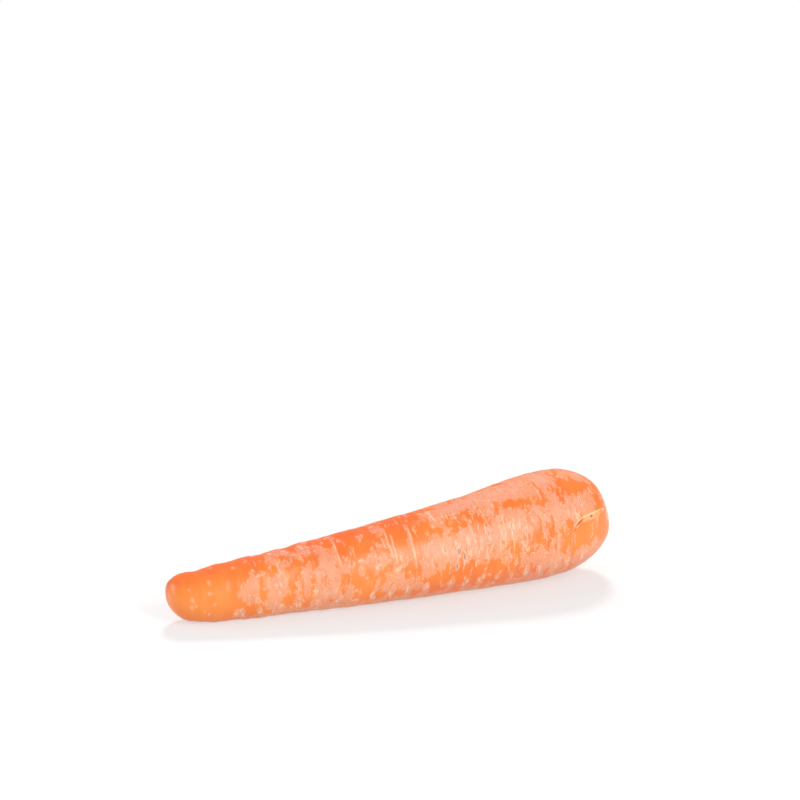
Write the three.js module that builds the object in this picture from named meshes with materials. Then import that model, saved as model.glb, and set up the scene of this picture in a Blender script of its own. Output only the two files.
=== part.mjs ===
import * as THREE from 'three';

// The root of a carrot, topped level with its crown and lying on its side.
// Millimetres, +Z up. +X points from the tip to the crown. The origin is under the
// middle of the root's box, on the surface that the root lies on.

// Driving dimensions
const rootLength = 176;
const bowDepth = 6.5; // sideways sweep of both ends from the middle
const axisRise = 0.08; // climb of the axis per mm of length, which lays the underside level
const restDepth = 0.3; // how much of the underside is pressed level with the surface
const tipLift = 2.5; // the blunt tip turns up a little
const tipLiftLength = 12;
const crownLift = 0.8; // so does the crown
const crownLean = 3.8; // and its face leans back over the root
const crownLiftLength = 57;

// Half the outline as [distance from the tip, radius]: blunt tip, straight taper,
// round shoulder, then the shallow hollow that the leaves grew from.
const outline = [
  [0, 0],
  [0.2, 2.8],
  [1.2, 5.2],
  [3.4, 7.2],
  [7.2, 8.7],
  [15, 9.8],
  [29, 11.1],
  [49, 12.4],
  [81, 15],
  [99, 16.3],
  [119, 18.1],
  [137, 19.8],
  [149, 20.4],
  [157, 20.1],
  [163.5, 18.8],
  [168.7, 16.8],
  [172.4, 14.4],
  [174.7, 12.2],
  [175.8, 10],
  [rootLength, 8],
  [175.3, 5.6],
  [174.2, 2.8],
  [174, 0],
];

// Mesh density
const stepsAlong = 64;
const stepsAround = 48;

const middle = rootLength / 2;
const shoulderRadius = Math.max(...outline.map(([, radius]) => radius));

// The smooth outline turned about the root's axis, which lies along X afterwards.
function makeStraightRoot() {
  const knots = outline.map(([along, radius]) => new THREE.Vector3(radius, along, 0));
  const curve = new THREE.CatmullRomCurve3(knots, false, 'centripetal');
  const points = curve.getSpacedPoints(stepsAlong);
  const profile = points.map((point) => new THREE.Vector2(Math.max(point.x, 0), point.y));
  profile[0].x = 0;
  profile[stepsAlong].x = 0;
  const root = new THREE.LatheGeometry(profile, stepsAround);
  root.rotateZ(-Math.PI / 2);
  return root;
}

// Sweeps the straight root into its grown shape.
function bendRoot(root) {
  const position = root.getAttribute('position');
  for (let i = 0; i < position.count; i += 1) {
    const along = position.getX(i);
    const up = position.getZ(i);
    const fromMiddle = (along - middle) / middle;
    const nearTip = Math.max(1 - along / tipLiftLength, 0) ** 2;
    const nearCrown = Math.max(1 - (rootLength - along) / crownLiftLength, 0) ** 2;
    const side = bowDepth * fromMiddle ** 2;
    const lift = axisRise * along + tipLift * nearTip + crownLift * nearCrown;
    const lean = crownLean * nearCrown * (up / shoulderRadius);
    position.setXYZ(i, along - lean, position.getY(i) + side, up + lift);
  }
}

// Puts the origin under the middle of the box, with the underside pressed level.
function layDown(root) {
  root.computeBoundingBox();
  const box = root.boundingBox;
  const centre = box.getCenter(new THREE.Vector3());
  root.translate(-centre.x, -centre.y, -box.min.z - restDepth);
  const position = root.getAttribute('position');
  for (let i = 0; i < position.count; i += 1) {
    position.setZ(i, Math.max(position.getZ(i), 0));
  }
  root.computeBoundingBox();
}

function makeCarrotRoot() {
  const geometry = makeStraightRoot();
  bendRoot(geometry);
  layDown(geometry);
  geometry.computeVertexNormals();
  const skin = new THREE.MeshStandardMaterial({ color: 0xf28c4c, roughness: 0.5, metalness: 0 });
  const mesh = new THREE.Mesh(geometry, skin);
  mesh.name = 'carrot_root';
  return mesh;
}

const carrot = new THREE.Group();
carrot.name = 'carrot';
carrot.add(makeCarrotRoot());

export default carrot;
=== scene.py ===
import math
import random

import bmesh
import bpy
import numpy as np
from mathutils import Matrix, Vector, noise


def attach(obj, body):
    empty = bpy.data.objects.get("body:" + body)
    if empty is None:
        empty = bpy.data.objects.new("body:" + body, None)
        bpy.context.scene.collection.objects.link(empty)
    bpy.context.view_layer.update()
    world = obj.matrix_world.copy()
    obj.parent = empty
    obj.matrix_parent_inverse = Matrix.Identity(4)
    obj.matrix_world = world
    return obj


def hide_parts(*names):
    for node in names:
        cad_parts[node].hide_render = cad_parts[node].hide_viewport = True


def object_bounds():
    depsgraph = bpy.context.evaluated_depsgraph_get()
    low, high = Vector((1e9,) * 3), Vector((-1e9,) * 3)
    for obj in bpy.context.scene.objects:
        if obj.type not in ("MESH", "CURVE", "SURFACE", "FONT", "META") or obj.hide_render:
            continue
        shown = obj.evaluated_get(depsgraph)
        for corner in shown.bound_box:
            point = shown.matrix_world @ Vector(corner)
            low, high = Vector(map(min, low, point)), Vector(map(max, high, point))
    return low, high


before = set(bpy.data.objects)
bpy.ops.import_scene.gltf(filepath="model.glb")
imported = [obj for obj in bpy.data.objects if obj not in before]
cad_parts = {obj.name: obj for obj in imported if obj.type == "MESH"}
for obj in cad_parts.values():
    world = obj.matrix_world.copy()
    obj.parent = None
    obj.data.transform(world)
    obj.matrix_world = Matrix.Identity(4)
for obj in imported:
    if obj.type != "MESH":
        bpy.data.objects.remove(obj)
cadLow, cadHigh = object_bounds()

mm = 0.001


def linear(hexColour):
    channels = [int(hexColour[i:i + 2], 16) / 255 for i in (1, 3, 5)]
    return [c / 12.92 if c <= 0.04045 else ((c + 0.055) / 1.055) ** 2.4
            for c in channels] + [1.0]


def addNode(tree, kind, inputs={}, **settings):
    # an input is a value, a socket, or a node whose first output in use is linked
    node = tree.nodes.new(kind)
    for name, value in settings.items():
        setattr(node, name, value)
    for name, value in inputs.items():
        if isinstance(value, bpy.types.Node):
            value = next(output for output in value.outputs if output.enabled)
        if isinstance(value, bpy.types.NodeSocket):
            tree.links.new(value, node.inputs[name])
        else:
            node.inputs[name].default_value = value
    return node


def linkObject(name, data):
    piece = bpy.data.objects.new(name, data)
    bpy.context.scene.collection.objects.link(piece)
    return piece


# The carrot's root, in mm along and across the straight root.
# Angles are in degrees round it, 0 on the near side and 90 on top.
root = {
    "length": 176,
    "bow": 6.5,  # sideways sweep of both ends from the middle
    "rise": 0.08,  # climb of the axis per mm, which lays the underside level
    "restDepth": 0.3,  # how far the underside is pressed level with the surface
    "tipLift": 2.5,
    "tipLiftLength": 12,
    "crownLift": 0.8,
    "crownLean": 3.8,
    "crownLiftLength": 57,
    # half the outline as (distance from the tip, radius)
    "outline": [
        (0, 0), (0.2, 2.8), (1.2, 5.2), (3.4, 7.2), (7.2, 8.7), (15, 9.8), (29, 11.1),
        (49, 12.4), (81, 15), (99, 16.3), (119, 18.1), (137, 19.8), (149, 20.4),
        (157, 20.1), (163.5, 18.8), (168.7, 16.8), (172.4, 14.4), (174.7, 12.2),
        (175.8, 10), (176, 8), (175.3, 5.6), (174.2, 2.8), (174, 0),
    ],
    "rings": 540,
    "steps": 180,
    "seed": 11,
    # uneven growth as (size along, size round, height)
    "growth": [(26, 26, 0.3), (5.5, 19, 0.16), (1.5, 10, 0.05)],
    "tipBumps": {"size": (6, 16), "height": 0.5, "reach": 90, "start": 6},
    # marks scattered over the skin: how many, and the range of each measure
    "lenticels": {
        "count": 64, "along": (22, 168), "halfAngle": (1.5, 7), "slope": (-0.3, 0.3),
        "width": (0.26, 0.36), "depth": (0.06, 0.2), "lip": (0.02, 0.06),
    },
    "threads": {
        "count": 150, "along": (26, 160), "halfAngle": (2, 9), "slope": (-0.4, 0.4),
        "width": (0.2, 0.28), "depth": -0.03,
    },
    "scuffs": {
        "count": 40, "along": (20, 168), "angle": (-20, 310), "strokes": (2, 5),
        "spreadAlong": (-1.4, 1.4), "spreadAngle": (-5, 5),
        "width": (0.22, 0.34), "depth": (-0.03, 0.08), "lip": 0.02,
    },
    # torn film in the shape of flames, all along the lower near side
    "flames": {
        "count": 22, "first": 20, "reach": 148, "shift": (-3, 3), "height": (5, 10),
        "foot": (-46, 2.2, 5, 0.8),  # angle, half length, half angle and dryness
        "tongue": (-42, 0.9, 1.9),  # angle, half length and dryness
        "strokes": (1, 4), "strokeFoot": (-44, -30), "strokeSide": (-1.2, 1.2),
        "slope": (-0.8, 0.8), "width": (0.24, 0.34), "depth": (-0.06, 0.1), "lip": 0.02,
    },
    "dots": {
        "count": 36, "nearTip": (4, 60), "beyond": (60, 165), "shareNearTip": 0.7,
        "width": (0.25, 0.45), "height": (0.04, 0.12),
    },
    # larger dots near the tip, as (along, angle)
    "tipDots": [(13, 45), (12.5, 20), (6.5, 8), (22.8, 68), (6.3, -12)],
    "tipDotWidth": 0.55,
    "tipDotHeight": 0.14,
    # dried rings that go part of the way round: (along, lower angle, upper angle)
    "paleLines": [
        (60.5, 22, 74), (79.8, 24, 66), (81.4, 10, 58), (88.6, 0, 62), (99.5, 58, 84),
        (38.5, 30, 62), (52.0, 120, 170), (74.5, 200, 262), (111.0, 130, 185), (127.5, 205, 240),
    ],
    "paleLineWidths": (0.32, 0.28),
    "paleLineHeight": 0.06,
    # where the skin has dried pale (above 0) or stayed moist (below 0):
    # (along, angle, half length, half angle, strength)
    "dryZones": [
        (6, 20, 17, 300, -1.7),
        (26, 62, 7, 30, -0.9),
        (24, 22, 3, 20, 0.5),
        (27, -25, 3, 16, -0.6),
        (37, -2, 5, 40, 0.5),
        (40, 70, 6, 20, 0.35),
        (46, 18, 4, 30, 0.4),
        (45, -30, 3, 10, -0.7),
        (50, 72, 5, 16, 0.3),
        (55, 10, 4, 36, 0.6),
        (69, 48, 9, 17, -1.1),
        (69, -14, 7, 22, -0.55),
        (70, 80, 9, 12, -0.8),
        (80, 18, 3, 52, 0.45),
        (84, 60, 3.5, 30, -0.8),
        (84, -25, 4, 20, 0.6),
        (92, 50, 4, 16, -0.8),
        (99, 16, 9, 20, 0.65),
        (109, 50, 9, 12, -0.9),
        (96, -20, 8, 12, -0.8),
        (112, -20, 9, 13, -0.8),
        (125, -24, 6, 14, -0.8),
        (111, 20, 8, 22, 0.5),
        (110, 76, 9, 14, 0.8),
        (130, 78, 14, 18, 1.0),
        (125, 32, 8, 24, 0.35),
        (133, 52, 6, 7, -0.8),
        (142, 18, 9, 28, 0.15),
        (148, 72, 4, 22, 0.7),
        (161, 54, 8, 12, -1.3),
        (158, 30, 9, 11, 0.6),
        (165, 70, 5, 12, 0.9),
        (160, -5, 10, 12, -1.2),
        (148, -28, 10, 14, 0.7),
        (165, -32, 6, 12, 0.5),
        (173, 14, 5, 34, -1.1),
        (95, -40, 72, 9, -0.8),
        # moist skin along the top edge, left bare also to paint the edge darker red as shade
        (84, 92, 24, 9, -0.7),
        (31, 10, 1.6, 40, -0.5),
        (50, -5, 1.5, 30, -0.6),
        (150, 150, 9, 20, -1.2),
        (120, 200, 8, 18, 0.8),
        (95, 145, 10, 20, -1.0),
        (70, 190, 9, 25, 0.8),
        (45, 150, 8, 25, -0.9),
        (135, 245, 10, 20, -0.9),
        (62, 240, 10, 25, -0.6),
        (165, 215, 6, 25, 0.6),
        (106, 250, 8, 14, 0.7),
    ],
    # where the colour is redder (above 0) or yellower (below 0); the redder top side, top of the
    # tip and crown end are painted shade, and on the top side painted reflection too
    "toneAndShadeZones": [
        # painted shade and painted reflection: the top side and the top of the tip redder
        (60, 84, 80, 24, 1.0),
        (14, 70, 20, 40, 0.25),
        (10, 0, 16, 45, -0.8),
        (62, -8, 22, 18, -0.4),
        (160, -2, 14, 20, -0.35),
        # painted shade: the crown end redder, which dims it
        (152, 44, 20, 34, 0.3),
        (120, -42, 60, 16, 0.5),
    ],
    # where the small splits crowd together
    "tickZones": [(116, 20, 22, 34, 1.0), (48, 60, 20, 30, 0.12), (6, 20, 18, 300, -1.0)],
    # the film's thin layers: (field, level of dryness, softness of the edge, paleness)
    "layers": [
        ("sheet", -0.07, 0.08, 0.27), ("sheet", 0.02, 0.02, 0.21),
        ("scales", 0.06, 0.03, 0.13), ("scales", 0.18, 0.03, 0.1),
    ],
    "dryShare": 0.22,  # how much the dry zones count in each field
    # what each field of dryness is mixed from
    "fields": {
        "sheet": {"patches": 0.5, "edges": 1.25},
        "scales": {"patches": 0.2, "crumbs": 1.0},
    },
    # size along and round, octaves and roughness of each pattern on the skin
    "patterns": {
        "patches": (9, 20, 2, 0.5),
        "edges": (3.0, 5.5, 5, 0.58),
        "crumbs": (2.0, 3.6, 4, 0.55),
        "fibres": (0.6, 6.5, 3, 0.55),
        "specks": (0.8, 1.1, 3, 0.65),
        "tone": (12, 22, 3, 0.5),
        "bands": (2.4, 40, 4, 0.6),
    },
    # how the patterns turn into amounts
    "ramps": {
        "threadedFilm": {"From Min": 0.3, "From Max": 0.7, "To Min": 0.82, "To Max": 1.18},
        "paleThreads": {"From Min": 0.6, "From Max": 0.66, "To Max": 0.3},
        "flecks": {"From Min": 0.5, "From Max": 0.58, "To Max": 0.5},
        "pores": {"From Min": 0.43, "From Max": 0.36, "To Max": 0.4},
        "chosenTicks": {"From Min": 0.86, "From Max": 0.88},
        "tickCore": {"From Min": 0.17, "From Max": 0.25, "To Min": 0.62, "To Max": 0.0},
        "tickField": {"From Min": 0.28, "From Max": 0.5, "To Min": 0.6, "To Max": 0.0},
        "deepSkin": {"From Min": 0.62, "From Max": 0.38},
        "redRings": {"From Min": 0.5, "From Max": 0.8, "To Max": 0.4},
        "roughness": {"To Min": 0.35, "To Max": 0.6},
    },
    "wander": {"Scale": 0.3, "Detail": 3.0},  # bends every pattern, per mm
    "wanderReach": 2.5,
    "curlWidth": 0.03,  # how near the film's edge its flecks stand
    "tickSize": (0.9, 7.0, 7.0),  # room for each small split, along and round
    "tickShare": 0.65,
    "redShare": 0.7,
    "bump": {"Strength": 0.6, "Distance": 0.12 * mm},
    "poreRelief": [("fibres", 0.5), ("specks", 0.5)],
    "tickRelief": -0.5,
    # what each mark on the mesh adds to the colour: (mark, share, colour)
    "markColours": [
        ("lip", 0.5, "crust"), ("crust", 0.8, "crust"), ("dot", 0.5, "crust"),
        ("thread", 0.3, "fleck"), ("groove", 0.3, "split"), ("crown", 0.9, "cork"),
        ("stub", 1.0, "dryStub"), ("green", 0.8, "greenStub"),
    ],
    # a healed split near the crown
    "scar": {
        "path": [(154, 6), (155.4, 9), (159, 14.5), (162, 16), (171.5, 18)],  # (along, angle)
        # (along, mm above the path, half length, half height, share, colour)
        "parts": [
            (164.5, -0.8, 6.4, 1.3, 0.6, "callus"),
            (164.8, 0.25, 7.2, 0.34, 0.8, "scarLine"),
            (157.6, 0.55, 3.0, 0.4, 0.75, "scarLine"),
            (157.4, 0.0, 2.6, 0.34, 0.95, "split"),
            (154.6, -0.9, 0.9, 0.22, 0.8, "split"),
            (163.6, -0.6, 0.8, 0.42, 0.85, "split"),
            (171.4, -0.2, 0.75, 0.6, 0.9, "fleck"),
        ],
        "soft": (0.6, 1.1),  # where the edge of each part starts and ends
        "wobble": 0.9,
        "cut": {"along": 157.4, "halfLength": 3, "width": 0.5, "depth": 0.35},
        "ridge": {"along": 163, "halfLength": 7, "above": 0.9, "width": 0.6, "height": 0.14},
    },
    # the crown's face, by distance from the axis
    "crown": {
        "start": 168,
        "hollow": 8.3,
        "hollowEdge": 0.9,
        "cork": {"radius": 10.4, "fade": 2.4, "share": 0.55, "power": 1.5},
        "rim": {"radius": 12.7, "width": 0.8, "share": 0.75, "angle": 12, "halfAngle": 45},
        "ragged": (4.5, 1.2),  # size and reach of the ring's wandering
        "crooked": (2.2, 0.9),  # and of the stubs'
        "cracks": {"radius": 9.6, "width": 1.5, "depth": 0.3},
        "stubs": 17,
        "spread": 1.8,
        "sizes": (0.7, 1.3),  # outwards and sideways
        "heights": (0.4, 1.8),
        "greenRadius": 6.5,
        "dryRadius": 8.2,
        "sunk": 0.7,
        "pith": 0.5,
    },
    "colours": {
        "orange": "#e88136",
        "deepOrange": "#e4762f",
        # red-orange of the skin's bands, also used as painted shade on the top side and the crown
        # end
        "redOrangeAndShade": "#dc5d2f",
        "yellowOrange": "#ea8a3e",
        "film": "#dda78c",
        # pink film, also darkened as painted shade and reflection on the top side
        "pinkShadedFilm": "#cf9485",
        "fleck": "#e8c6aa",
        "split": "#7a4a2c",
        "tick": "#7e4828",
        "crust": "#efc1a4",
        "callus": "#e2ad78",
        "scarLine": "#ecc796",
        "cork": "#8a6238",
        "dryStub": "#b8905a",
        "greenStub": "#98974f",
    },
}


# what is painted on the mesh, point by point: the sculpted marks, then the zones
sculptedMarks = ("groove", "lip", "crust", "thread", "dot")
skinMarks = sculptedMarks + ("crown", "stub", "green", "dry", "tone", "ticks")


def smoothOutline(knots, count):
    # a centripetal Catmull-Rom curve through the knots, in equal steps
    knots = np.array(knots, float)
    padded = np.vstack([2 * knots[0] - knots[1], knots, 2 * knots[-1] - knots[-2]])
    stretches = []
    for a, b, c, d in zip(padded, padded[1:], padded[2:], padded[3:]):
        t1 = np.linalg.norm(b - a) ** 0.5
        t2 = t1 + np.linalg.norm(c - b) ** 0.5
        t3 = t2 + np.linalg.norm(d - c) ** 0.5
        t = np.linspace(t1, t2, 40, endpoint=False)[:, None]
        ab = a + (b - a) * t / t1
        bc = b + (c - b) * (t - t1) / (t2 - t1)
        cd = c + (d - c) * (t - t2) / (t3 - t2)
        abc = ab + (bc - ab) * t / t2
        bcd = bc + (cd - bc) * (t - t1) / (t3 - t1)
        stretches.append(abc + (bcd - abc) * (t - t1) / (t2 - t1))
    curve = np.vstack(stretches + [knots[-1:]])
    run = np.r_[0, np.cumsum(np.linalg.norm(np.diff(curve, axis=0), axis=1))]
    at = np.linspace(0, run[-1], count)
    curve = np.c_[np.interp(at, run, curve[:, 0]), np.interp(at, run, curve[:, 1])]
    curve[[0, -1], 1] = 0
    return curve


def spinRoot(shape):
    bm = bmesh.new()
    profile = [bm.verts.new((along, -radius, 0)) for along, radius in
               smoothOutline(shape["outline"], shape["rings"])]
    edges = [bm.edges.new(pair) for pair in zip(profile, profile[1:])]
    bmesh.ops.spin(bm, geom=profile + edges, cent=(0, 0, 0), axis=(1, 0, 0),
                   angle=math.tau, steps=shape["steps"], use_merge=True)
    bmesh.ops.remove_doubles(bm, verts=bm.verts, dist=0.001)
    bmesh.ops.recalc_face_normals(bm, faces=bm.faces)
    mesh = bpy.data.meshes.new("carrot_root_skin")
    bm.to_mesh(mesh)
    bm.free()
    return mesh


def growShape(shape, straight):
    # sweeps the straight root into its grown shape
    along, across, up = straight.T
    fromMiddle = along / (shape["length"] / 2) - 1
    nearTip = np.clip(1 - along / shape["tipLiftLength"], 0, None) ** 2
    nearCrown = np.clip(1 - (shape["length"] - along) / shape["crownLiftLength"], 0, None) ** 2
    shoulder = max(radius for _, radius in shape["outline"])
    return np.c_[
        along - shape["crownLean"] * nearCrown * up / shoulder,
        across + shape["bow"] * fromMiddle ** 2,
        up + shape["rise"] * along + shape["tipLift"] * nearTip + shape["crownLift"] * nearCrown,
    ]


def layDown(shape, grown, smooth):
    # the same move as the CAD root's, then an exact fit into its box
    low, high = smooth.min(0), smooth.max(0)
    middle = (low + high) / 2
    placed = grown - [middle[0], middle[1], low[2] + shape["restDepth"]]
    placed *= mm
    placed[:, 2] = np.clip(placed[:, 2], 0, None)
    for axis in range(3):
        lowest, highest = placed[:, axis].min(), placed[:, axis].max()
        share = (placed[:, axis] - lowest) / (highest - lowest)
        placed[:, axis] = cadLow[axis] + share * (cadHigh[axis] - cadLow[axis])
    return placed


def noiseField(points, size, octaves=3):
    # size is one width along the root and one across it
    scaled = points / [size[0], size[1], size[1]]
    return np.array([noise.fractal(Vector(p), 0.8, 2.1, octaves) for p in scaled])


def angleGap(angles, angle):
    return (angles - angle + 180) % 360 - 180


def addCrease(skin, start, end, width, depth, lip, kind):
    # a groove between two places on the skin, with raised sides
    startAlong, startAngle = start
    endAlong, endAngle = end
    reach = 5 * width
    near = (skin["along"] > min(startAlong, endAlong) - reach) & (
        skin["along"] < max(startAlong, endAlong) + reach)
    arc = np.radians(angleGap(skin["angle"][near], startAngle)) * skin["radius"][near]
    run = np.radians(angleGap(endAngle, startAngle)) * np.mean(skin["radius"][near])
    rise = endAlong - startAlong
    fromStart = skin["along"][near] - startAlong
    length = math.hypot(run, rise)
    along = (fromStart * rise + arc * run) / length ** 2
    gap = np.abs(fromStart * run - arc * rise) / length
    taper = np.clip(1 - (2 * along - 1) ** 2, 0, 1) ** 0.5
    groove = np.exp(-(gap / width) ** 2) * taper
    side = np.exp(-((gap - 2 * width) / width) ** 2) * taper
    skin["height"][near] += lip * side - depth * groove
    skin[kind][near] = np.maximum(skin[kind][near], groove)
    skin["lip"][near] = np.maximum(skin["lip"][near], side * min(1, lip * 9))


def addDot(skin, along, angle, width, height):
    near = np.abs(skin["along"] - along) < 4 * width
    arc = np.radians(angleGap(skin["angle"][near], angle)) * skin["radius"][near]
    gap = np.hypot(skin["along"][near] - along, arc / 1.4) / width
    bump = np.exp(-gap ** 2)
    skin["height"][near] += height * bump
    skin["dot"][near] = np.maximum(skin["dot"][near], bump)


def sumZones(skin, zones):
    total = np.zeros_like(skin["along"])
    for along, angle, halfLength, halfAngle, strength in zones:
        total += strength * np.exp(-((skin["along"] - along) / halfLength) ** 2
                                   - (angleGap(skin["angle"], angle) / halfAngle) ** 2)
    return total


def scatterLenticels(skin, marks, rng):
    for _ in range(marks["count"]):
        along = rng.uniform(*marks["along"])
        angle = rng.uniform(0, 360)
        half = rng.uniform(*marks["halfAngle"])
        slope = rng.uniform(*marks["slope"])
        addCrease(skin, (along - slope, angle - half), (along + slope, angle + half),
                  rng.uniform(*marks["width"]), rng.uniform(*marks["depth"]),
                  rng.uniform(*marks["lip"]), "groove")


def drawPaleLines(skin, detail):
    # each in two strokes that overlap a little
    widths, height = detail["paleLineWidths"], detail["paleLineHeight"]
    for along, low, high in detail["paleLines"]:
        middle = (low + high) / 2
        addCrease(skin, (along, low), (along - 0.6, middle + 3), widths[0], -height, 0, "crust")
        addCrease(skin, (along - 0.6, middle - 3), (along - 0.2, high), widths[1], -height, 0,
                  "crust")


def scatterThreads(skin, marks, rng):
    for _ in range(marks["count"]):
        along, angle = rng.uniform(*marks["along"]), rng.uniform(0, 360)
        half = rng.uniform(*marks["halfAngle"])
        addCrease(skin, (along, angle - half), (along + rng.uniform(*marks["slope"]), angle + half),
                  rng.uniform(*marks["width"]), marks["depth"], 0, "thread")


def tearFlames(skin, marks, rng):
    footAngle, footLength, footHalf, footDryness = marks["foot"]
    tongueAngle, tongueLength, tongueDryness = marks["tongue"]
    for k in range(marks["count"]):
        along = marks["first"] + marks["reach"] * k / marks["count"] + rng.uniform(*marks["shift"])
        height = rng.uniform(*marks["height"])
        skin["dry"] += sumZones(skin, [
            (along, footAngle, footLength, footHalf, footDryness),
            (along, tongueAngle + height, tongueLength, height, tongueDryness)])
        for _ in range(rng.randint(*marks["strokes"])):
            foot = rng.uniform(*marks["strokeFoot"])
            side = along + rng.uniform(*marks["strokeSide"])
            addCrease(skin, (side, foot), (side + rng.uniform(*marks["slope"]), foot + height),
                      rng.uniform(*marks["width"]), rng.uniform(*marks["depth"]), marks["lip"],
                      "crust")


def scatterScuffs(skin, marks, rng):
    for _ in range(marks["count"]):
        along, angle = rng.uniform(*marks["along"]), rng.uniform(*marks["angle"])
        for _ in range(rng.randint(*marks["strokes"])):
            start, end = [
                (along + rng.uniform(*marks["spreadAlong"]),
                 angle + rng.uniform(*marks["spreadAngle"])) for _ in range(2)]
            addCrease(skin, start, end, rng.uniform(*marks["width"]), rng.uniform(*marks["depth"]),
                      marks["lip"], "crust")


def scatterDots(skin, marks, rng):
    for _ in range(marks["count"]):
        stretch = "nearTip" if rng.random() < marks["shareNearTip"] else "beyond"
        addDot(skin, rng.uniform(*marks[stretch]), rng.uniform(0, 360),
               rng.uniform(*marks["width"]), rng.uniform(*marks["height"]))


def markSkin(skin, detail):
    rng = random.Random(detail["seed"])
    scatterLenticels(skin, detail["lenticels"], rng)
    drawPaleLines(skin, detail)
    scatterThreads(skin, detail["threads"], rng)
    tearFlames(skin, detail["flames"], rng)
    scatterScuffs(skin, detail["scuffs"], rng)
    scatterDots(skin, detail["dots"], rng)
    for along, angle in detail["tipDots"]:
        addDot(skin, along, angle, detail["tipDotWidth"], detail["tipDotHeight"])


def addShoulderScar(skin, scar):
    # gives mm above the split's path, so that its parts can be drawn finer than the mesh
    places, angles = zip(*scar["path"])
    pathAngles = np.interp(skin["along"], places, angles)
    above = np.radians(angleGap(skin["angle"], pathAngles)) * skin["radius"]
    cut, ridge = scar["cut"], scar["ridge"]
    nearby = np.abs(skin["along"] - cut["along"]) < cut["halfLength"]
    skin["height"] -= cut["depth"] * nearby * np.exp(-(above / cut["width"]) ** 2)
    skin["height"] += ridge["height"] * np.exp(
        -((skin["along"] - ridge["along"]) / ridge["halfLength"]) ** 2
        - ((above - ridge["above"]) / ridge["width"]) ** 2)
    return np.c_[skin["along"], above, 0 * above]


def corkRing(skin, crown, face, y, z):
    # a ragged corky ring round the hollow, cracked outwards, and a pale rim on the near side;
    # gives how far each point is inside the hollow
    size, reach = crown["ragged"]
    radius = skin["radius"] + reach * noiseField(np.c_[y, z, z * 0 + 15], (size, size), 3)
    inside = np.clip((crown["hollow"] - radius) / crown["hollowEdge"], 0, 1) * face
    cork, rim, cracks = crown["cork"], crown["rim"], crown["cracks"]
    ring = np.clip((cork["radius"] - radius) / cork["fade"], 0, 1) ** cork["power"]
    skin["crown"] = np.maximum(inside, cork["share"] * face * ring)
    pale = rim["share"] * face * np.exp(-((radius - rim["radius"]) / rim["width"]) ** 4)
    pale *= np.clip(1.3 - np.abs(skin["angle"] - rim["angle"]) / rim["halfAngle"], 0, 1)
    skin["crust"] = np.maximum(skin["crust"], pale)
    turned = np.c_[0.25 * radius, y / skin["radius"].clip(1), z / skin["radius"].clip(1)]
    depth = np.clip(2.4 * noiseField(turned, (1, 0.09), 2) - 0.5, 0, 1) * face
    depth *= np.exp(-((radius - cracks["radius"]) / cracks["width"]) ** 2)
    skin["groove"] = np.maximum(skin["groove"], depth)
    skin["height"] -= cracks["depth"] * depth
    return inside


def packStubs(skin, crown, seed, inside, y, z):
    # the stubs of the cut leaves, which follow each other in a spiral
    size, reach = crown["crooked"]
    shift = reach * noiseField(np.c_[y, z, z * 0 + 5], (size, size), 2)
    thick, wide = crown["sizes"]
    rng = random.Random(seed)
    gaps, heights, greens = [], [], []
    for k in range(crown["stubs"]):
        spread = crown["spread"] * math.sqrt(k + 0.35)
        turn = k * math.radians(137.5)  # the golden angle
        outward = y * math.cos(turn) + z * math.sin(turn) - spread + shift
        sideways = z * math.cos(turn) - y * math.sin(turn) + shift
        gaps.append(np.hypot(outward / thick, sideways / wide))
        heights.append(rng.uniform(*crown["heights"]) - 0.14 * spread)
        greens.append(max(0, 1 - spread / crown["greenRadius"]) * rng.uniform(0.2, 1))
    gaps = np.array(gaps)
    nearest = gaps.argmin(0)
    first, second = np.sort(gaps, axis=0)[:2]
    stub = np.clip((second - first) / 1.6, 0, 1) ** 0.7
    dry = np.clip((crown["dryRadius"] - skin["radius"]) / 4, 0.1, 0.9)
    skin["stub"] = stub * inside * dry
    skin["green"] = np.array(greens)[nearest] * stub * inside
    hollowPith = crown["pith"] * np.exp(-(first / 0.6) ** 2)
    skin["height"] += inside * (stub * (np.array(heights)[nearest] - hollowPith) - crown["sunk"])


def carveCrown(skin, detail):
    crown = detail["crown"]
    face = skin["along"] > crown["start"]
    y = -skin["radius"] * np.cos(np.radians(skin["angle"]))
    z = skin["radius"] * np.sin(np.radians(skin["angle"]))
    inside = corkRing(skin, crown, face, y, z)
    packStubs(skin, crown, detail["seed"], inside, y, z)


def readVectors(items, name):
    values = np.empty(len(items) * 3, np.float32)
    items.foreach_get(name, values)
    return values.reshape(-1, 3).astype(float)


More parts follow.
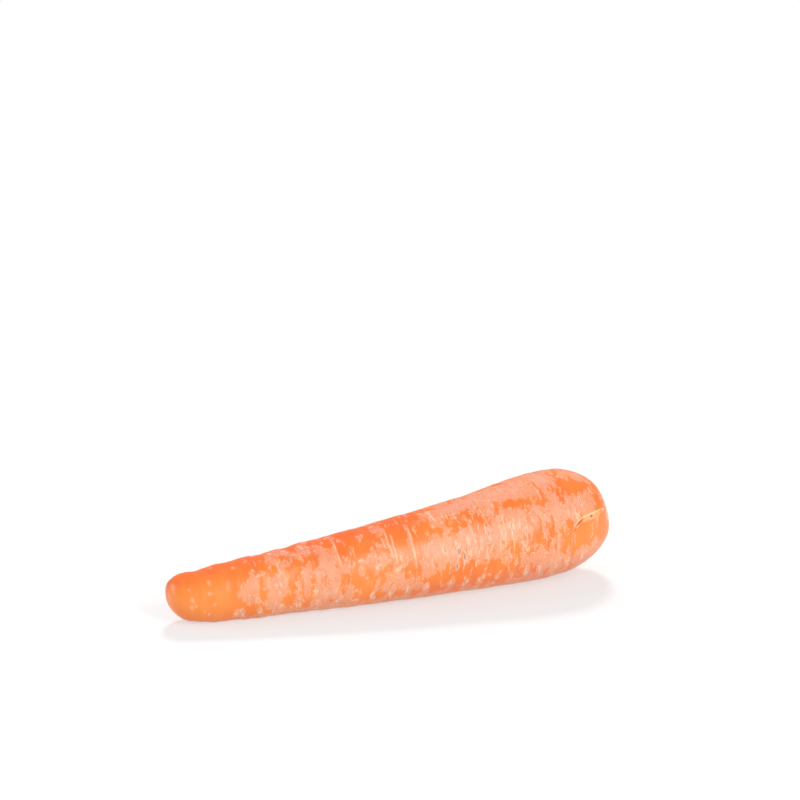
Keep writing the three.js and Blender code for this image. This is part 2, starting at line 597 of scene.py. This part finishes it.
def makeSkin(detail):
    mesh = spinRoot(detail)
    straight = readVectors(mesh.vertices, "co")
    normals = readVectors(mesh.vertex_normals, "vector")
    along, across, up = straight.T
    skin = {"along": along, "angle": np.degrees(np.arctan2(up, -across)),
            "radius": np.hypot(across, up)}
    for name in ("height",) + sculptedMarks:
        skin[name] = np.zeros(len(along))
    for sizeAlong, sizeRound, height in detail["growth"]:
        skin["height"] += height * noiseField(straight, (sizeAlong, sizeRound))
    bumps = detail["tipBumps"]
    nearTip = np.clip(1 - along / bumps["reach"], 0, 1) * np.clip(along / bumps["start"], 0, 1)
    skin["height"] += bumps["height"] * nearTip * noiseField(straight + 40, bumps["size"], 2)
    skin["dry"] = sumZones(skin, detail["dryZones"])
    markSkin(skin, detail)
    scarPlace = addShoulderScar(skin, detail["scar"])
    carveCrown(skin, detail)
    # the tone zones: skin tone, with painted shade and reflection that make the top side and the
    # crown end redder
    skin["tone"] = sumZones(skin, detail["toneAndShadeZones"])
    skin["ticks"] = sumZones(skin, detail["tickZones"])
    worn = straight + normals * skin["height"][:, None]
    placed = layDown(detail, growShape(detail, worn), growShape(detail, straight))
    mesh.vertices.foreach_set("co", placed.astype(np.float32).ravel())
    for name in skinMarks:
        attribute = mesh.attributes.new(name, "FLOAT", "POINT")
        attribute.data.foreach_set("value", skin[name].astype(np.float32))
    for name, values in (("grain", straight), ("scar", scarPlace)):
        attribute = mesh.attributes.new(name, "FLOAT_VECTOR", "POINT")
        attribute.data.foreach_set("vector", values.astype(np.float32).ravel())
    mesh.shade_smooth()
    mesh.update()
    return mesh


def layFilm(tree, detail, marks, patterns):
    # The dry film lies in thin torn layers, which leave the moist skin bare in ragged holes.
    # Gives how strong it is, its pale threads and curled flecks, and its pores.
    ramps = detail["ramps"]
    dryness = {}
    for name, shares in detail["fields"].items():
        field = addNode(tree, "ShaderNodeMath", {
            0: marks["dry"], 1: detail["dryShare"], 2: -sum(shares.values()) / 2},
            operation="MULTIPLY_ADD")
        for pattern, share in shares.items():
            field = addNode(tree, "ShaderNodeMath", {0: patterns[pattern], 1: share, 2: field},
                            operation="MULTIPLY_ADD")
        dryness[name] = field
    strength = 0.0
    for name, level, softness, share in detail["layers"]:
        layer = addNode(tree, "ShaderNodeMapRange", {
            "Value": dryness[name], "From Min": level, "From Max": level + softness,
            "To Max": share})
        strength = addNode(tree, "ShaderNodeMath", {0: strength, 1: layer})
    threads = addNode(tree, "ShaderNodeMapRange", {
        "Value": patterns["fibres"], **ramps["threadedFilm"]})
    strength = addNode(tree, "ShaderNodeMath", {0: strength, 1: threads}, operation="MULTIPLY")
    # pale threads run round the root in it, and its torn edges curl up in flecks
    pale = addNode(tree, "ShaderNodeMapRange", {
        "Value": patterns["fibres"], **ramps["paleThreads"]})
    pale = addNode(tree, "ShaderNodeMath", {0: pale, 1: strength}, operation="MULTIPLY")
    flecks = addNode(tree, "ShaderNodeMapRange", {"Value": patterns["specks"], **ramps["flecks"]})
    edge = addNode(tree, "ShaderNodeMath", {0: dryness["sheet"], 1: 0.0, 2: detail["curlWidth"]},
                   operation="COMPARE")
    curled = addNode(tree, "ShaderNodeMath", {0: flecks, 1: edge, 2: pale},
                     operation="MULTIPLY_ADD")
    pores = addNode(tree, "ShaderNodeMapRange", {"Value": patterns["specks"], **ramps["pores"]})
    pores = addNode(tree, "ShaderNodeMath", {0: pores, 1: strength}, operation="MULTIPLY")
    return strength, curled, pores


def cutTicks(tree, detail, marks, grain):
    # small splits round the root, each a dark line in a pale field
    ramps = detail["ramps"]
    scaled = addNode(tree, "ShaderNodeVectorMath", {0: grain, 1: detail["tickSize"]},
                     operation="DIVIDE")
    cells = addNode(tree, "ShaderNodeTexVoronoi", {"Vector": scaled, "Scale": 1.0})
    odds = addNode(tree, "ShaderNodeMath", {
        0: marks["ticks"], 1: detail["tickShare"], 2: cells.outputs["Color"]},
        operation="MULTIPLY_ADD")
    chosen = addNode(tree, "ShaderNodeMapRange", {"Value": odds, **ramps["chosenTicks"]})
    parts = []
    for name in ("tickCore", "tickField"):
        part = addNode(tree, "ShaderNodeMapRange", {
            "Value": cells.outputs["Distance"], **ramps[name]})
        parts.append(addNode(tree, "ShaderNodeMath", {0: part, 1: chosen}, operation="MULTIPLY"))
    return parts


def drawScar(tree, detail, colours, wander, skin):
    scar = detail["scar"]
    wobble = scar["wobble"]
    place = addNode(tree, "ShaderNodeAttribute", attribute_name="scar").outputs["Vector"]
    place = addNode(tree, "ShaderNodeVectorMath", {0: wander, 1: (0, wobble, 0), 2: place},
                    operation="MULTIPLY_ADD")
    inner, outer = scar["soft"]
    for along, above, halfLength, halfHeight, share, colour in scar["parts"]:
        centred = addNode(tree, "ShaderNodeVectorMath", {
            0: place, 1: (1 / halfLength, 1 / halfHeight, 0),
            2: (-along / halfLength, -(above + wobble / 2) / halfHeight, 0)},
            operation="MULTIPLY_ADD")
        reach = addNode(tree, "ShaderNodeVectorMath", {0: centred}, operation="LENGTH")
        amount = addNode(tree, "ShaderNodeMapRange", {
            "Value": reach.outputs["Value"], "From Min": inner, "From Max": outer,
            "To Min": share, "To Max": 0.0})
        skin = addNode(tree, "ShaderNodeMix", {0: amount, 6: skin, 7: colours[colour]},
                       data_type="RGBA")
    return skin


def makeSkinMaterial(detail):
    # Washed carrot skin: moist waxy orange skin, with a papery film where it has dried.
    # The moist skin is clear and has a soft gloss, the film is pale, thin and matt.
    material = bpy.data.materials.new("washed carrot skin")
    material.use_nodes = True
    tree = material.node_tree
    tree.nodes.clear()
    colours = {name: linear(value) for name, value in detail["colours"].items()}
    ramps = detail["ramps"]
    marks = {}
    for name in skinMarks:
        mark = addNode(tree, "ShaderNodeAttribute", attribute_name=name)
        marks[name] = mark.outputs["Fac"]

    # the straight root's own millimetres, wandering a little so that no pattern is dead straight
    grain = addNode(tree, "ShaderNodeAttribute", attribute_name="grain").outputs["Vector"]
    wander = addNode(tree, "ShaderNodeTexNoise", {"Vector": grain, **detail["wander"]})
    wander = wander.outputs["Color"]
    grain = addNode(tree, "ShaderNodeVectorMath", {
        0: wander, 1: (detail["wanderReach"],) * 3, 2: grain}, operation="MULTIPLY_ADD")
    patterns = {}
    for name, (sizeAlong, sizeRound, octaves, roughness) in detail["patterns"].items():
        scaled = addNode(tree, "ShaderNodeVectorMath", {
            0: grain, 1: (sizeAlong, sizeRound, sizeRound)}, operation="DIVIDE")
        pattern = addNode(tree, "ShaderNodeTexNoise", {
            "Vector": scaled, "Scale": 1.0, "Detail": octaves, "Roughness": roughness})
        patterns[name] = pattern.outputs["Fac"]

    strength, curled, pores = layFilm(tree, detail, marks, patterns)
    tickCore, tickField = cutTicks(tree, detail, marks, grain)

    # the moist skin's colour, from yellowish to reddish orange, redder on the top side and the
    # crown end as painted shade and reflection, and then the film on it
    deep = addNode(tree, "ShaderNodeMapRange", {"Value": patterns["tone"], **ramps["deepSkin"]})
    ringed = addNode(tree, "ShaderNodeMapRange", {
        "Value": patterns["bands"], **ramps["redRings"]})
    yellow = addNode(tree, "ShaderNodeMath", {0: marks["tone"], 1: -1.0},
                     operation="MULTIPLY", use_clamp=True)
    # the redder zones, which on the top side and the crown end are painted shade and painted
    # reflection
    red = addNode(tree, "ShaderNodeMath", {0: marks["tone"], 1: detail["redShare"]},
                  operation="MULTIPLY", use_clamp=True)
    film = addNode(tree, "ShaderNodeMix", {
        0: red, 6: colours["film"], 7: colours["pinkShadedFilm"]}, data_type="RGBA")
    skin = colours["orange"]
    for amount, colour in (
            (deep, colours["deepOrange"]), (ringed, colours["redOrangeAndShade"]),
            (yellow, colours["yellowOrange"]), (red, colours["redOrangeAndShade"]), (strength, film),
            (curled, colours["fleck"]), (pores, colours["tick"]), (tickField, colours["crust"])):
        skin = addNode(tree, "ShaderNodeMix", {0: amount, 6: skin, 7: colour}, data_type="RGBA")
    for mark, share, colour in detail["markColours"]:
        amount = addNode(tree, "ShaderNodeMath", {0: marks[mark], 1: share}, operation="MULTIPLY")
        skin = addNode(tree, "ShaderNodeMix", {0: amount, 6: skin, 7: colours[colour]},
                       data_type="RGBA")
    skin = drawScar(tree, detail, colours, wander, skin)
    skin = addNode(tree, "ShaderNodeMix", {0: tickCore, 6: skin, 7: colours["tick"]},
                   data_type="RGBA")

    # relief finer than the mesh: the film's thickness, its threads, the pores and the splits
    relief = strength
    for name, share in detail["poreRelief"]:
        relief = addNode(tree, "ShaderNodeMath", {0: patterns[name], 1: share, 2: relief},
                         operation="MULTIPLY_ADD")
    relief = addNode(tree, "ShaderNodeMath", {0: tickCore, 1: detail["tickRelief"], 2: relief},
                     operation="MULTIPLY_ADD")
    bump = addNode(tree, "ShaderNodeBump", {"Height": relief, **detail["bump"]})
    roughness = addNode(tree, "ShaderNodeMapRange", {"Value": strength, **ramps["roughness"]})
    shader = addNode(tree, "ShaderNodeBsdfPrincipled", {
        "Base Color": skin, "Roughness": roughness, "Normal": bump, "IOR": 1.45,
        "Subsurface Weight": 0.1, "Subsurface Radius": (1.0, 0.35, 0.12),
        "Subsurface Scale": 2 * mm})
    addNode(tree, "ShaderNodeOutputMaterial", {"Surface": shader})
    return material


studio = {
    "cameraPlace": (-274, -624, 224),  # mm
    "cameraTurn": -23.8,  # degrees, clockwise from +Y
    "cameraPitch": -12.3,
    "lens": 85,
    "floorSize": 8.0,
    "paper": "#a09f9f",  # what it reflects, beside the light that comes through it
    "paperGlow": (0.52, 0.7),  # under the carrot, and far from it
    "glowReach": (0.15, 0.7),  # where it starts and stops rising, in m
    "skyLight": 0.5,
    "skyShine": 0.3,  # dimmer in reflections, where the backdrop is flagged off
    # a tall narrow softbox draws the bright band along the near side, a wide one fills the front
    "panels": {
        "strip softbox": {"turn": 16, "rise": 29, "away": 1.1, "size": (0.3, 0.74), "power": 8.6},
        "tip panel": {"turn": -112, "rise": 18, "away": 1.0, "size": (0.6, 0.6), "power": 4.0},
        "fill panel": {"turn": -10, "rise": 35, "away": 1.5, "size": (2.2, 0.9), "power": 2.0},
    },
    "backLight": {"turn": 156, "rise": 43, "softness": 14, "strength": 2.6},
}


def makeFloorMaterial(settings):
    # Seamless white paper whose glow is painted light, standing in for light through it from below:
    # matt, so that it holds only the soft shadow.
    material = bpy.data.materials.new("white backdrop paper")
    material.use_nodes = True
    tree = material.node_tree
    shader = tree.nodes["Principled BSDF"]
    shader.inputs["Base Color"].default_value = linear(settings["paper"])
    shader.inputs["Roughness"].default_value = 0.9
    shader.inputs["Specular IOR Level"].default_value = 0.2
    shader.inputs["Emission Color"].default_value = (1, 1, 1, 1)
    place = addNode(tree, "ShaderNodeTexCoord").outputs["Object"]
    reach = addNode(tree, "ShaderNodeVectorMath", {0: place}, operation="LENGTH").outputs["Value"]
    near, far = settings["paperGlow"]
    start, stop = settings["glowReach"]
    # painted light: the glow rises away from the carrot, so the far floor reads white while the
    # shadow near it stays
    glow = addNode(tree, "ShaderNodeMapRange", {
        "Value": reach, "From Min": start, "From Max": stop, "To Min": near, "To Max": far})
    tree.links.new(glow.outputs["Result"], shader.inputs["Emission Strength"])
    return material


def facing(turn, rise):
    # the direction that a light stands in, seen from the carrot: turn 0 is the near side
    turn, rise = math.radians(turn), math.radians(rise)
    level = math.cos(rise)
    return Vector((math.sin(turn) * level, -math.cos(turn) * level, math.sin(rise)))


def addPanel(name, turn, rise, away, size, power):
    light = bpy.data.lights.new(name, "AREA")
    light.shape = "RECTANGLE"
    light.size, light.size_y = size
    light.energy = power
    piece = linkObject(name, light)
    piece.location = facing(turn, rise) * away
    piece.rotation_euler = facing(turn, rise).to_track_quat("Z", "Y").to_euler()


def addBackLight(turn, rise, softness, strength):
    # throws the shadow forwards; it is flagged off from the skin's gloss
    light = bpy.data.lights.new("back light", "SUN")
    light.angle = math.radians(softness)
    light.energy = strength
    piece = linkObject("back light", light)
    piece.rotation_euler = facing(turn, rise).to_track_quat("Z", "Y").to_euler()
    piece.visible_glossy = False


def lightSky(settings):
    # white to the camera, softer as a light
    world = bpy.data.worlds.new("studio")
    world.use_nodes = True
    tree = world.node_tree
    tree.nodes.clear()
    rays = addNode(tree, "ShaderNodeLightPath")
    strength = addNode(tree, "ShaderNodeMapRange", {
        "Value": rays.outputs["Is Glossy Ray"], "To Min": settings["skyLight"],
        "To Max": settings["skyShine"]})
    strength = addNode(tree, "ShaderNodeMath", {0: rays.outputs["Is Camera Ray"], 1: strength},
                       operation="MAXIMUM")
    sky = addNode(tree, "ShaderNodeBackground", {"Color": (1, 1, 1, 1), "Strength": strength})
    addNode(tree, "ShaderNodeOutputWorld", {"Surface": sky})
    bpy.context.scene.world = world


def buildStudio(settings):
    scene = bpy.context.scene
    scene.view_settings.view_transform = "Standard"
    camera = bpy.data.cameras.new("camera")
    camera.lens = settings["lens"]
    camera.clip_start = 0.01
    view = linkObject("camera", camera)
    view.location = [c * mm for c in settings["cameraPlace"]]
    view.rotation_euler = (math.radians(90 + settings["cameraPitch"]), 0,
                           math.radians(settings["cameraTurn"]))
    scene.camera = view

    bm = bmesh.new()
    bmesh.ops.create_grid(bm, x_segments=1, y_segments=1, size=settings["floorSize"] / 2)
    mesh = bpy.data.meshes.new("floor")
    bm.to_mesh(mesh)
    bm.free()
    mesh.materials.append(makeFloorMaterial(settings))
    linkObject("floor", mesh)

    lightSky(settings)
    for name, panel in settings["panels"].items():
        addPanel(name, **panel)
    addBackLight(**settings["backLight"])


buildStudio(studio)
print("studio ready")

skinMesh = makeSkin(root)
skinMesh.materials.append(makeSkinMaterial(root))
carrotSkin = linkObject("carrot_root_skin", skinMesh)
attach(carrotSkin, "root")
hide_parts("carrot_root")
print("carrot root ready,", len(skinMesh.polygons), "faces")
